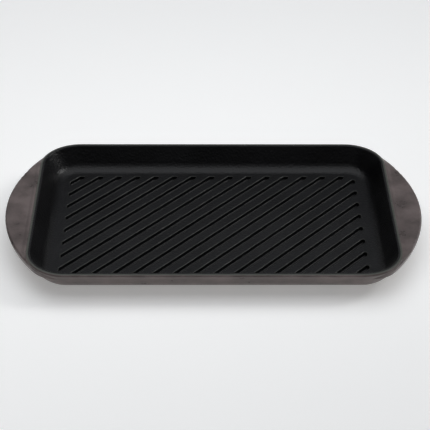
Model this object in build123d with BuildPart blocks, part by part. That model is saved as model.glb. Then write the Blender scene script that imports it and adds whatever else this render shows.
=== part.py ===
"""Cast iron grill pan: one iron casting with two tab handles, under fused enamel.

Frame: +X runs along the pan towards the right-hand handle, +Y towards the back,
+Z up. The origin is the middle of the flat underside. Sizes are millimetres and
are those of the finished, enamelled pan.
"""
import os
from math import atan, cos, degrees, radians, sin, tan

from build123d import *

# Mouth and rim, seen from above
mouth_length = 344.0
mouth_width = 221.4
mouth_corner = 35.2
mouth_round = 1.0
rim_width = 4.3
rim_round = 1.3

# Body in section
pan_height = 28.5
floor_thickness = 7.0
wall_lean = 32.0
bowl_fillet = 12.9
base_fillet = 30.9

# Grill face: slanting grooves inside a level border
border_width = 4.7
face_corner = 8.0
groove_angle = 48.0
groove_pitch = 14.2
groove_width = 5.8
groove_depth = 3.6
groove_draft = 16.0
groove_end_round = 2.0
groove_lip_round = 0.7
groove_foot_round = 0.8
shortest_groove = 12.0

# Handles: a crescent tab cast on each short end, with a ramp up to the rim
overall_length = 404.8
handle_arc = 162.0
handle_corner = 31.0
handle_drop = 1.2
handle_thickness = 8.0
handle_lean = 12.0
handle_top_round = 2.0
handle_under_round = 3.0
handle_root = 45.0
ramp_width = 2.8
ramp_below_rim = 0.3

# Enamel: a ground coat all over the iron, then cover coats fired on top of it
ground_coat_thickness = 0.2
cover_coat_thickness = 0.3
seam_inset = 1.6

# What a leaning wall does to sizes: run per millimetre of height, level width per
# millimetre of thickness, and what rounding its top edge takes off, per millimetre of radius
lean_run = tan(radians(wall_lean))
lean_side = 1 / cos(radians(wall_lean))
round_loss = lean_run + lean_side - 1
handle_run = tan(radians(handle_lean))
handle_side = 1 / cos(radians(handle_lean))
iron_inset = ground_coat_thickness + cover_coat_thickness

rim_reach = rim_width + rim_round * round_loss
rim_length = mouth_length + 2 * rim_reach
rim_breadth = mouth_width + 2 * rim_reach
rim_corner = mouth_corner + rim_reach

bowl_depth = pan_height - floor_thickness
bowl_inset = bowl_depth * lean_run + bowl_fillet * (lean_side - lean_run)
face_length = mouth_length - 2 * (bowl_inset + border_width)
face_breadth = mouth_width - 2 * (bowl_inset + border_width)
ramp_lean = degrees(atan(ramp_width / (handle_drop - ramp_below_rim)))

# The tabs grow out of the corners: their undersides are as broad as the wall is at that level
handle_reach = handle_top_round * (handle_run + handle_side - 1)
handle_foot = rim_breadth - 2 * (handle_drop + handle_thickness) * lean_run
handle_breadth = handle_foot + 2 * handle_thickness * handle_run


def leaning_block(length, breadth, corner, top, bottom, foot_round):
    """Rounded rectangle, its sizes taken at the rim's level, drawn in by the lean below."""
    rise = (top - pan_height) * lean_run
    with BuildPart() as block:
        with BuildSketch(Plane.XY.offset(top)):
            RectangleRounded(length + 2 * rise, breadth + 2 * rise, corner + rise)
        extrude(amount=bottom - top, taper=wall_lean)
        fillet(block.edges().group_by(Axis.Z)[0], radius=foot_round)
    return block.part


def outer_block(inset, top):
    """The body's outside, moved in by an inset measured square to each face."""
    side = inset * lean_side
    return leaning_block(rim_length - 2 * side, rim_breadth - 2 * side, rim_corner - side,
                         top, inset, base_fillet - inset)


def bowl(inset):
    """The hollow inside the walls, moved out by the inset."""
    side = inset * lean_side
    return leaning_block(mouth_length + 2 * side, mouth_width + 2 * side, mouth_corner + side,
                         pan_height + rim_round, floor_thickness - inset, bowl_fillet + inset)


def grooves(inset):
    """The slanting grooves, each clipped by the grill face and rounded at its ends."""
    slant = radians(groove_angle)
    draft = radians(groove_draft)
    swell = inset / cos(draft) - inset * tan(draft)
    reach = face_length / 2 * sin(slant) + face_breadth / 2 * cos(slant)
    last = int((reach - shortest_groove / 2) / groove_pitch)
    with BuildPart() as cuts:
        for number in range(-last, last + 1):
            across = number * groove_pitch
            with BuildSketch(Plane.XY.offset(floor_thickness - inset)):
                with Locations((-across * sin(slant), across * cos(slant))):
                    Rectangle(face_length + face_breadth, groove_width - 2 * groove_end_round,
                              rotation=groove_angle)
                RectangleRounded(face_length - 2 * groove_end_round, face_breadth - 2 * groove_end_round,
                                 face_corner - groove_end_round, mode=Mode.INTERSECT)
                offset(amount=groove_end_round + swell, kind=Kind.ARC)
            extrude(amount=-groove_depth, taper=groove_draft)
        fillet(cuts.edges().group_by(Axis.Z)[0], radius=groove_foot_round + inset)
    return cuts.part


def tab_outline(side, inset):
    """A tab's outline at its top level before rounding, with its faces moved in by the inset."""
    draw_in = inset * (handle_side + handle_run)
    with BuildSketch() as outline:
        Rectangle(2 * overall_length, handle_breadth - 2 * draw_in)
        with Locations((side * (overall_length / 2 - handle_arc), 0)):
            Circle(handle_arc + handle_reach - draw_in, mode=Mode.INTERSECT)
        fillet(outline.vertices(), radius=handle_corner - draw_in)
    return outline.sketch


def handle(side, inset):
    """One crescent tab, cut off inside the walls that carry it, with its ramp."""
    top = pan_height - handle_drop - inset
    ramp = ramp_width - inset * lean_side
    with BuildPart() as tab:
        with BuildSketch(Plane.XY.offset(top)):
            add(tab_outline(side, inset))
        extrude(amount=2 * inset - handle_thickness, taper=handle_lean)
        fillet(tab.edges().group_by(Axis.Z)[-1], radius=handle_top_round - inset)
        fillet(tab.edges().group_by(Axis.Z)[0], radius=handle_under_round - inset)
        with BuildSketch(Plane.XY.offset(top)):
            RectangleRounded(rim_length + 2 * ramp, rim_breadth + 2 * ramp, rim_corner + ramp)
            add(tab_outline(side, handle_top_round), mode=Mode.INTERSECT)
        extrude(amount=handle_drop - ramp_below_rim, taper=ramp_lean)
        with Locations((-side * handle_root, 0, pan_height)):
            Box(mouth_length, 4 * handle_arc, 2 * pan_height, mode=Mode.SUBTRACT)
        split(bisect_by=Plane.YZ, keep=Keep.TOP if side > 0 else Keep.BOTTOM)
    return tab.part


def pan(inset):
    """The whole pan with every face moved in by the inset."""
    with BuildPart() as body:
        add(outer_block(inset, pan_height - inset))
        fillet(body.edges().group_by(Axis.Z)[-1], radius=rim_round - inset)
        for side in (-1, 1):
            add(handle(side, inset))
        add(bowl(inset), mode=Mode.SUBTRACT)
        rim_top = body.faces().filter_by(Plane.XY).sort_by(Axis.Z)[-1]
        fillet(rim_top.inner_wires()[0].edges(), radius=mouth_round - inset)
        add(grooves(inset), mode=Mode.SUBTRACT)
        face_level = floor_thickness - inset
        lips = body.edges().filter_by_position(Axis.Z, face_level - 0.01, face_level + 0.01)
        lips = lips.filter_by_position(Axis.X, -face_length / 2, face_length / 2)
        lips = lips.filter_by_position(Axis.Y, -face_breadth / 2, face_breadth / 2)
        fillet(lips, radius=groove_lip_round - inset)
    return body.part


# The iron: floor, walls and both handles are one casting
with BuildPart() as iron_casting:
    add(pan(iron_inset))

# The ground coat wraps the whole casting
coated = pan(cover_coat_thickness)
with BuildPart() as ground_coat:
    add(coated)
    add(iron_casting.part, mode=Mode.SUBTRACT)

# The cover coats: black over the grill face, walls and rim, another colour outside.
# They meet on the rim's outer edge, along a block that runs inside the iron
finished = pan(0)
seam_side = seam_inset * lean_side
seam = leaning_block(rim_length - 2 * seam_side, rim_breadth - 2 * seam_side, rim_corner - seam_side,
                     pan_height + rim_round, seam_inset, base_fillet - seam_inset)

with BuildPart() as cooking_enamel:
    add(finished)
    add(coated, mode=Mode.SUBTRACT)
    add(seam, mode=Mode.INTERSECT)

with BuildPart() as exterior_enamel:
    add(finished)
    add(coated, mode=Mode.SUBTRACT)
    add(seam, mode=Mode.SUBTRACT)
    split(bisect_by=Plane.XY.offset(cover_coat_thickness), keep=Keep.TOP)

# The pan stands on its underside, so that coat is a flat sheet of its own
with BuildPart() as base_enamel:
    add(outer_block(0, pan_height))
    split(bisect_by=Plane.XY.offset(cover_coat_thickness), keep=Keep.BOTTOM)

os.makedirs("parts", exist_ok=True)
pieces = {
    "iron_casting": iron_casting,
    "ground_coat": ground_coat,
    "cooking_enamel": cooking_enamel,
    "exterior_enamel": exterior_enamel,
    "base_enamel": base_enamel,
}
for name, piece in pieces.items():
    piece.part.label = name
    export_step(piece.part, f"parts/{name}.step")
    print(name, round(piece.part.volume / 1000, 1), "cm3")
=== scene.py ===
# Enamelled cast iron grill pan: finishes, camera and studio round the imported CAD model
from math import cos, pi, radians, sin

import bpy
from mathutils import Euler, Matrix, Vector


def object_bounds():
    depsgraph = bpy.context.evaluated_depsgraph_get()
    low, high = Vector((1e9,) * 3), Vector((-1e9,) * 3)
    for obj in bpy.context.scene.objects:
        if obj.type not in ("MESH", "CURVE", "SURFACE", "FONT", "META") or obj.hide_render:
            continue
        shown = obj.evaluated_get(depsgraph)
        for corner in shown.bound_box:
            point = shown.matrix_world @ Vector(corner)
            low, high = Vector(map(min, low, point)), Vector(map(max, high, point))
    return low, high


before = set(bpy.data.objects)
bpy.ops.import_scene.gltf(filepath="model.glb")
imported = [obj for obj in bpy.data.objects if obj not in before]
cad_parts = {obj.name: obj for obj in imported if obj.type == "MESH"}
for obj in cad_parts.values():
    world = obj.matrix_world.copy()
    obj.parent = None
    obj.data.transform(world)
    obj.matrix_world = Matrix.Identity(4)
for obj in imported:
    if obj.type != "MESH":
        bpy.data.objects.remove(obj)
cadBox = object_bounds()
rimLevel = cadBox[1][2]
print("frame loaded:", sorted(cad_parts))

mmInMetre = 1000

# A noise texture's values lie mostly in the first range, and nearly all in the second
usualLow, usualHigh = 0.35, 0.65
fullLow, fullHigh = 0.3, 0.7


def linearColour(hexColour):
    channels = [int(hexColour[i:i + 2], 16) / 255 for i in (1, 3, 5)]
    return tuple(c / 12.92 if c <= 0.04045 else ((c + 0.055) / 1.055) ** 2.4 for c in channels) + (1.0,)


def metres(millimetres):
    return millimetres / mmInMetre


def perMetre(millimetres):
    # a noise texture's scale whose features are this far apart
    return mmInMetre / millimetres


def addNode(tree, kind, settings=None, values=None, links=None, stops=()):
    # settings are the node's own properties, values its sockets, links a socket to (node, output),
    # stops a colour ramp's (position, hex colour)
    node = tree.nodes.new(kind)
    for name, value in (settings or {}).items():
        setattr(node, name, value)
    for name, value in (values or {}).items():
        node.inputs[name].default_value = value
    for name, (source, output) in (links or {}).items():
        tree.links.new(source.outputs[output], node.inputs[name])
    for number, (position, hexColour) in enumerate(stops):
        elements = node.color_ramp.elements
        element = elements[number] if number < 2 else elements.new(position)
        element.position, element.color = position, linearColour(hexColour)
    return node


def startMaterial(name, shaderValues):
    material = bpy.data.materials.new(name)
    material.use_nodes = True
    tree = material.node_tree
    shader = tree.nodes["Principled BSDF"]
    for socket, value in shaderValues.items():
        shader.inputs[socket].default_value = value
    place = addNode(tree, "ShaderNodeTexCoord")
    return material, tree, shader, place


def colourFrom(tree, shader, source, output, stops):
    # the base colour follows a value along these stops
    colour = addNode(tree, "ShaderNodeValToRGB", links={"Fac": (source, output)}, stops=stops)
    tree.links.new(colour.outputs["Color"], shader.inputs["Base Color"])


def sheenFrom(tree, shader, noise, p):
    # the roughness drifts between two values with a noise texture
    rough = addNode(tree, "ShaderNodeMapRange",
                    values={"From Min": fullLow, "From Max": fullHigh,
                            "To Min": p["roughLow"], "To Max": p["roughHigh"]},
                    links={"Value": (noise, "Fac")})
    tree.links.new(rough.outputs["Result"], shader.inputs["Roughness"])


def reliefFrom(tree, shader, noise, height):
    # a noise texture stands this many metres out of the surface
    bump = addNode(tree, "ShaderNodeBump", values={"Strength": 1.0, "Distance": height},
                   links={"Height": (noise, "Fac")})
    tree.links.new(bump.outputs["Normal"], shader.inputs["Normal"])


# Satin black cooking enamel: sprayed thinly over cast iron and fired, so the casting's fine
# grain shows through as a pebbled sheen. Over the rim the colour goes to dark grey where the
# enamel thins, and is painted lighter still as a highlight along the rim's edge; the rounded
# lips of the grooves carry painted highlights as lighter grey lines
satinBlack = {
    "shader": {"Metallic": 0.0, "IOR": 1.5, "Specular IOR Level": 0.27},
    # the last colour is the rim's grey where the enamel thins, painted lighter to carry the rim's edge
    # highlight; the lips' painted highlights blend towards it
    "dark": "#050506", "light": "#0a0a0c", "rimGreyAndHighlight": "#50524c",
    "lightAt": 0.3,  # where light stands on the way from dark to rimGreyAndHighlight
    "toneSpacing": 40, "toneDetail": 4.0,  # spacings are in mm
    "roughLow": 0.28, "roughHigh": 0.36,
    "mouthLength": 344.0, "mouthWidth": 221.4, "mouthCorner": 35.2,  # mm, the rim's inner edge
    "rimBandFrom": 0.8, "rimBandTo": 2.2,  # mm out over the rim from that edge
    "faceLevel": 7.0, "lipFrom": 0.05, "lipTo": 0.45,  # mm, the grill face and the lips' depth below it
    "lipPaintedHighlight": 0.62,  # how far a lip goes from dark to rimGreyAndHighlight
    "grainSpacing": 2.0, "grainDetail": 2.0,  # the real grain is about 0.5 mm, drawn coarser to show
    "grainHeight": 0.0004,  # m
}


def satinBlackEnamel():
    p = satinBlack
    material, tree, shader, place = startMaterial("satinBlackEnamel", p["shader"])
    tone = addNode(tree, "ShaderNodeTexNoise",
                   values={"Scale": perMetre(p["toneSpacing"]), "Detail": p["toneDetail"]},
                   links={"Vector": (place, "Object")})
    toneShade = addNode(tree, "ShaderNodeMapRange",
                        values={"From Min": usualLow, "From Max": usualHigh,
                                "To Min": 0.0, "To Max": p["lightAt"]},
                        links={"Value": (tone, "Fac")})
    # distance outside the mouth, whose outline is a rounded rectangle about the pan's middle
    corner = p["mouthCorner"]
    cornerX = metres(p["mouthLength"] / 2 - corner)
    cornerY = metres(p["mouthWidth"] / 2 - corner)
    overPan = 1  # m, higher than the pan, so that height adds nothing to the distance
    quarter = addNode(tree, "ShaderNodeVectorMath", {"operation": "ABSOLUTE"}, links={0: (place, "Object")})
    pastCorner = addNode(tree, "ShaderNodeVectorMath", {"operation": "SUBTRACT"},
                         values={1: (cornerX, cornerY, overPan)}, links={0: (quarter, "Vector")})
    outside = addNode(tree, "ShaderNodeVectorMath", {"operation": "MAXIMUM"}, values={1: (0, 0, 0)},
                      links={0: (pastCorner, "Vector")})
    reach = addNode(tree, "ShaderNodeVectorMath", {"operation": "LENGTH"}, links={0: (outside, "Vector")})
    # over the rim the colour goes grey where the enamel thins, and is painted lighter still as a highlight
    # along the rim's edge
    rimGreyAndHighlightMask = addNode(tree, "ShaderNodeMapRange",
                       values={"From Min": metres(corner + p["rimBandFrom"]),
                               "From Max": metres(corner + p["rimBandTo"])},
                       links={"Value": (reach, "Value")})
    # the band of height that holds the grooves' lips, where a painted highlight lightens the colour towards
    # the rim's grey
    lipMiddle = metres(p["faceLevel"] - (p["lipFrom"] + p["lipTo"]) / 2)
    lipHalf = metres((p["lipTo"] - p["lipFrom"]) / 2)
    axes = addNode(tree, "ShaderNodeSeparateXYZ", links={"Vector": (place, "Object")})
    lips = addNode(tree, "ShaderNodeMath", {"operation": "COMPARE"}, values={1: lipMiddle, 2: lipHalf},
                   links={0: (axes, "Z")})
    # painted highlight: each lip is drawn as a lighter grey line that stands in for its glint
    lipPaintedHighlight = addNode(tree, "ShaderNodeMath", {"operation": "MULTIPLY"}, values={1: p["lipPaintedHighlight"]},
                       links={0: (lips, "Value")})
    # the grey rim with its painted highlight, and the painted lip highlights, whichever is lighter
    rimGreyAndLipHighlights = addNode(tree, "ShaderNodeMath", {"operation": "MAXIMUM"},
                   links={0: (lipPaintedHighlight, "Value"), 1: (rimGreyAndHighlightMask, "Result")})
    shade = addNode(tree, "ShaderNodeMath", {"operation": "MAXIMUM"},
                    links={0: (toneShade, "Result"), 1: (rimGreyAndLipHighlights, "Value")})
    colourFrom(tree, shader, shade, "Value",
               [(0.0, p["dark"]), (p["lightAt"], p["light"]), (1.0, p["rimGreyAndHighlight"])])
    sheenFrom(tree, shader, tone, p)
    grain = addNode(tree, "ShaderNodeTexNoise",
                    values={"Scale": perMetre(p["grainSpacing"]), "Detail": p["grainDetail"]},
                    links={"Vector": (place, "Object")})
    reliefFrom(tree, shader, grain, p["grainHeight"])
    return material


# Taupe outer enamel: a smooth poured coat with soft brown-grey clouds where it is thicker, and
# a faint orange peel
taupeGloss = {
    "shader": {"Metallic": 0.0, "IOR": 1.52, "Specular IOR Level": 0.25},
    "dark": "#534b49", "light": "#716664",
    "cloudSpacing": 24, "cloudDetail": 5.0, "cloudRoughness": 0.6,
    "roughLow": 0.26, "roughHigh": 0.36,
    "peelSpacing": 3.0, "peelDetail": 1.0, "peelHeight": 0.00004,
}


def taupeEnamel():
    p = taupeGloss
    material, tree, shader, place = startMaterial("taupeEnamel", p["shader"])
    cloud = addNode(tree, "ShaderNodeTexNoise",
                    values={"Scale": perMetre(p["cloudSpacing"]), "Detail": p["cloudDetail"],
                            "Roughness": p["cloudRoughness"]},
                    links={"Vector": (place, "Object")})
    colourFrom(tree, shader, cloud, "Fac", [(usualLow, p["dark"]), (usualHigh, p["light"])])
    sheenFrom(tree, shader, cloud, p)
    peel = addNode(tree, "ShaderNodeTexNoise",
                   values={"Scale": perMetre(p["peelSpacing"]), "Detail": p["peelDetail"]},
                   links={"Vector": (place, "Object")})
    reliefFrom(tree, shader, peel, p["peelHeight"])
    return material


# Matt black underside enamel: a rougher black coat where the pan stands, slightly lighter where worn
mattBlack = {
    "shader": {"Metallic": 0.0, "IOR": 1.5},
    "dark": "#141414", "light": "#222120", "darkAt": 0.4, "lightAt": 0.7,
    "wearSpacing": 18, "wearDetail": 6.0,
    "roughLow": 0.45, "roughHigh": 0.65,
    "grainSpacing": 1.2, "grainDetail": 2.0, "grainHeight": 0.00006,
}


def undersideEnamel():
    p = mattBlack
    material, tree, shader, place = startMaterial("undersideEnamel", p["shader"])
    wear = addNode(tree, "ShaderNodeTexNoise",
                   values={"Scale": perMetre(p["wearSpacing"]), "Detail": p["wearDetail"]},
                   links={"Vector": (place, "Object")})
    colourFrom(tree, shader, wear, "Fac", [(p["darkAt"], p["dark"]), (p["lightAt"], p["light"])])
    sheenFrom(tree, shader, wear, p)
    grain = addNode(tree, "ShaderNodeTexNoise",
                    values={"Scale": perMetre(p["grainSpacing"]), "Detail": p["grainDetail"]},
                    links={"Vector": (place, "Object")})
    reliefFrom(tree, shader, grain, p["grainHeight"])
    return material


# Ground coat enamel: dark blue-black cobalt frit with cloudy patches, hidden under the cover coats
groundCoatLook = {
    "shader": {"IOR": 1.5, "Roughness": 0.5},
    "dark": "#10131a", "light": "#1b2230", "cloudSpacing": 12, "cloudDetail": 5.0,
}


def groundEnamel():
    p = groundCoatLook
    material, tree, shader, place = startMaterial("groundEnamel", p["shader"])
    cloud = addNode(tree, "ShaderNodeTexNoise",
                    values={"Scale": perMetre(p["cloudSpacing"]), "Detail": p["cloudDetail"]},
                    links={"Vector": (place, "Object")})
    colourFrom(tree, shader, cloud, "Fac", [(usualLow, p["dark"]), (usualHigh, p["light"])])
    return material


# Grey cast iron: sand cast and shot blasted, dull grey with a coarse grain, hidden inside
castIronLook = {
    "shader": {"Metallic": 1.0, "Roughness": 0.6},
    "dark": "#3c3b3a", "light": "#565452",
    "grainSpacing": 0.9, "grainDetail": 4.0, "grainHeight": 0.0001,
}


def greyCastIron():
    p = castIronLook
    material, tree, shader, place = startMaterial("greyCastIron", p["shader"])
    grain = addNode(tree, "ShaderNodeTexNoise",
                    values={"Scale": perMetre(p["grainSpacing"]), "Detail": p["grainDetail"]},
                    links={"Vector": (place, "Object")})
    colourFrom(tree, shader, grain, "Fac", [(usualLow, p["dark"]), (usualHigh, p["light"])])
    reliefFrom(tree, shader, grain, p["grainHeight"])
    return material


finishes = {
    "cooking_enamel": satinBlackEnamel(),
    "exterior_enamel": taupeEnamel(),
    "base_enamel": undersideEnamel(),
    "ground_coat": groundEnamel(),
    "iron_casting": greyCastIron(),
}
for nodeName, finish in finishes.items():
    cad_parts[nodeName].material_slots[0].material = finish
print("finishes assigned")

# Camera: pitch, distance and aim fitted to the rim and handle outline in the photograph.
# Angles are in degrees, lens and sensor in mm, the rest in metres
view = {
    "pitch": 34.3, "yaw": 0.848, "roll": 0.473, "distance": 1.3677,
    "aimX": 0.00137, "aimY": -0.01702,
    "lens": 118.47, "sensor": 36, "clipEnd": 20,
}
pitch, yaw = radians(view["pitch"]), radians(view["yaw"])
backX, backY = view["aimX"], view["aimY"] - view["distance"] * cos(pitch)
camera = bpy.data.objects.new("camera", bpy.data.cameras.new("camera"))
camera.data.sensor_width = view["sensor"]
camera.data.lens = view["lens"]
camera.data.clip_end = view["clipEnd"]
camera.location = (cos(yaw) * backX + sin(yaw) * backY, -sin(yaw) * backX + cos(yaw) * backY,
                   view["distance"] * sin(pitch) + rimLevel)
turn = Euler((pi / 2 - pitch, 0, -yaw)).to_matrix() @ Matrix.Rotation(radians(view["roll"]), 3, "Z")
camera.rotation_euler = turn.to_euler()
bpy.context.scene.collection.objects.link(camera)
bpy.context.scene.camera = camera

# Studio: a pale floor under soft overhead light, with a bright low backdrop and side panels
# that draw the rim and lips, and only a weak fill in front, so that the black enamel reads by
# its sheen
studio = {
    "floorSize": 40.0, "floorColour": "#f4f4f3", "floorRoughness": 0.9, "floorGlow": 0.3,
    "worldColour": "#ffffff", "worldStrength": 0.03,
    "lights": {  # place, aim, width and depth in metres, spread in degrees, power in watts, colour
        "overheadSoftbox": ((0.0, 0.35, 1.8), (0, 0.2, 0), 2.6, 2.3, 180, 25.5, "#f9fbff"),
        "frontFill": ((0.0, -1.4, 1.8), (0, -0.6, 0), 2.6, 1.2, 180, 2.4, "#f9fbff"),
        "backPanel": ((0.0, 2.3, 1.6), (0, 0, 0), 3.4, 1.4, 180, 2.4, "#f0f5ff"),
        "lowBackdrop": ((0.0, 3.0, 0.4), (0, 0, 0), 3.6, 0.7, 180, 6.5, "#ffffff"),
        "keyRight": ((1.3, 0.4, 1.1), (-0.3, 0, 0), 0.6, 0.6, 34, 0.5, "#ffffff"),
        "leftPanel": ((-2.3, 0.3, 0.15), (0, 0, 0), 2.0, 0.24, 180, 1.4, "#ffffff"),
        "rightPanel": ((2.3, 0.3, 0.15), (0, 0, 0), 2.0, 0.24, 180, 0.7, "#ffffff"),
    },
}
bpy.ops.mesh.primitive_plane_add(size=studio["floorSize"], location=(0, 0, 0))
floor = bpy.context.object
floor.name = "floor"
floorPaint = startMaterial("paleFloor", {
    "Base Color": linearColour(studio["floorColour"]), "Roughness": studio["floorRoughness"],
    "Emission Color": linearColour(studio["floorColour"]), "Emission Strength": studio["floorGlow"]})[0]
floor.data.materials.append(floorPaint)

for lightName, (place, aim, width, depth, spread, power, hexColour) in studio["lights"].items():
    lamp = bpy.data.lights.new(lightName, "AREA")
    lamp.shape, lamp.size, lamp.size_y, lamp.energy = "RECTANGLE", width, depth, power
    lamp.color, lamp.spread = linearColour(hexColour)[:3], radians(spread)
    holder = bpy.data.objects.new(lightName, lamp)
    holder.location = place
    holder.rotation_euler = (Vector(aim) - Vector(place)).to_track_quat("-Z", "Y").to_euler()
    bpy.context.scene.collection.objects.link(holder)

world = bpy.data.worlds.new("studio")
world.use_nodes = True
world.node_tree.nodes["Background"].inputs["Color"].default_value = linearColour(studio["worldColour"])
world.node_tree.nodes["Background"].inputs["Strength"].default_value = studio["worldStrength"]
bpy.context.scene.world = world
bpy.context.scene.view_settings.view_transform = "Standard"
print("camera and studio set")
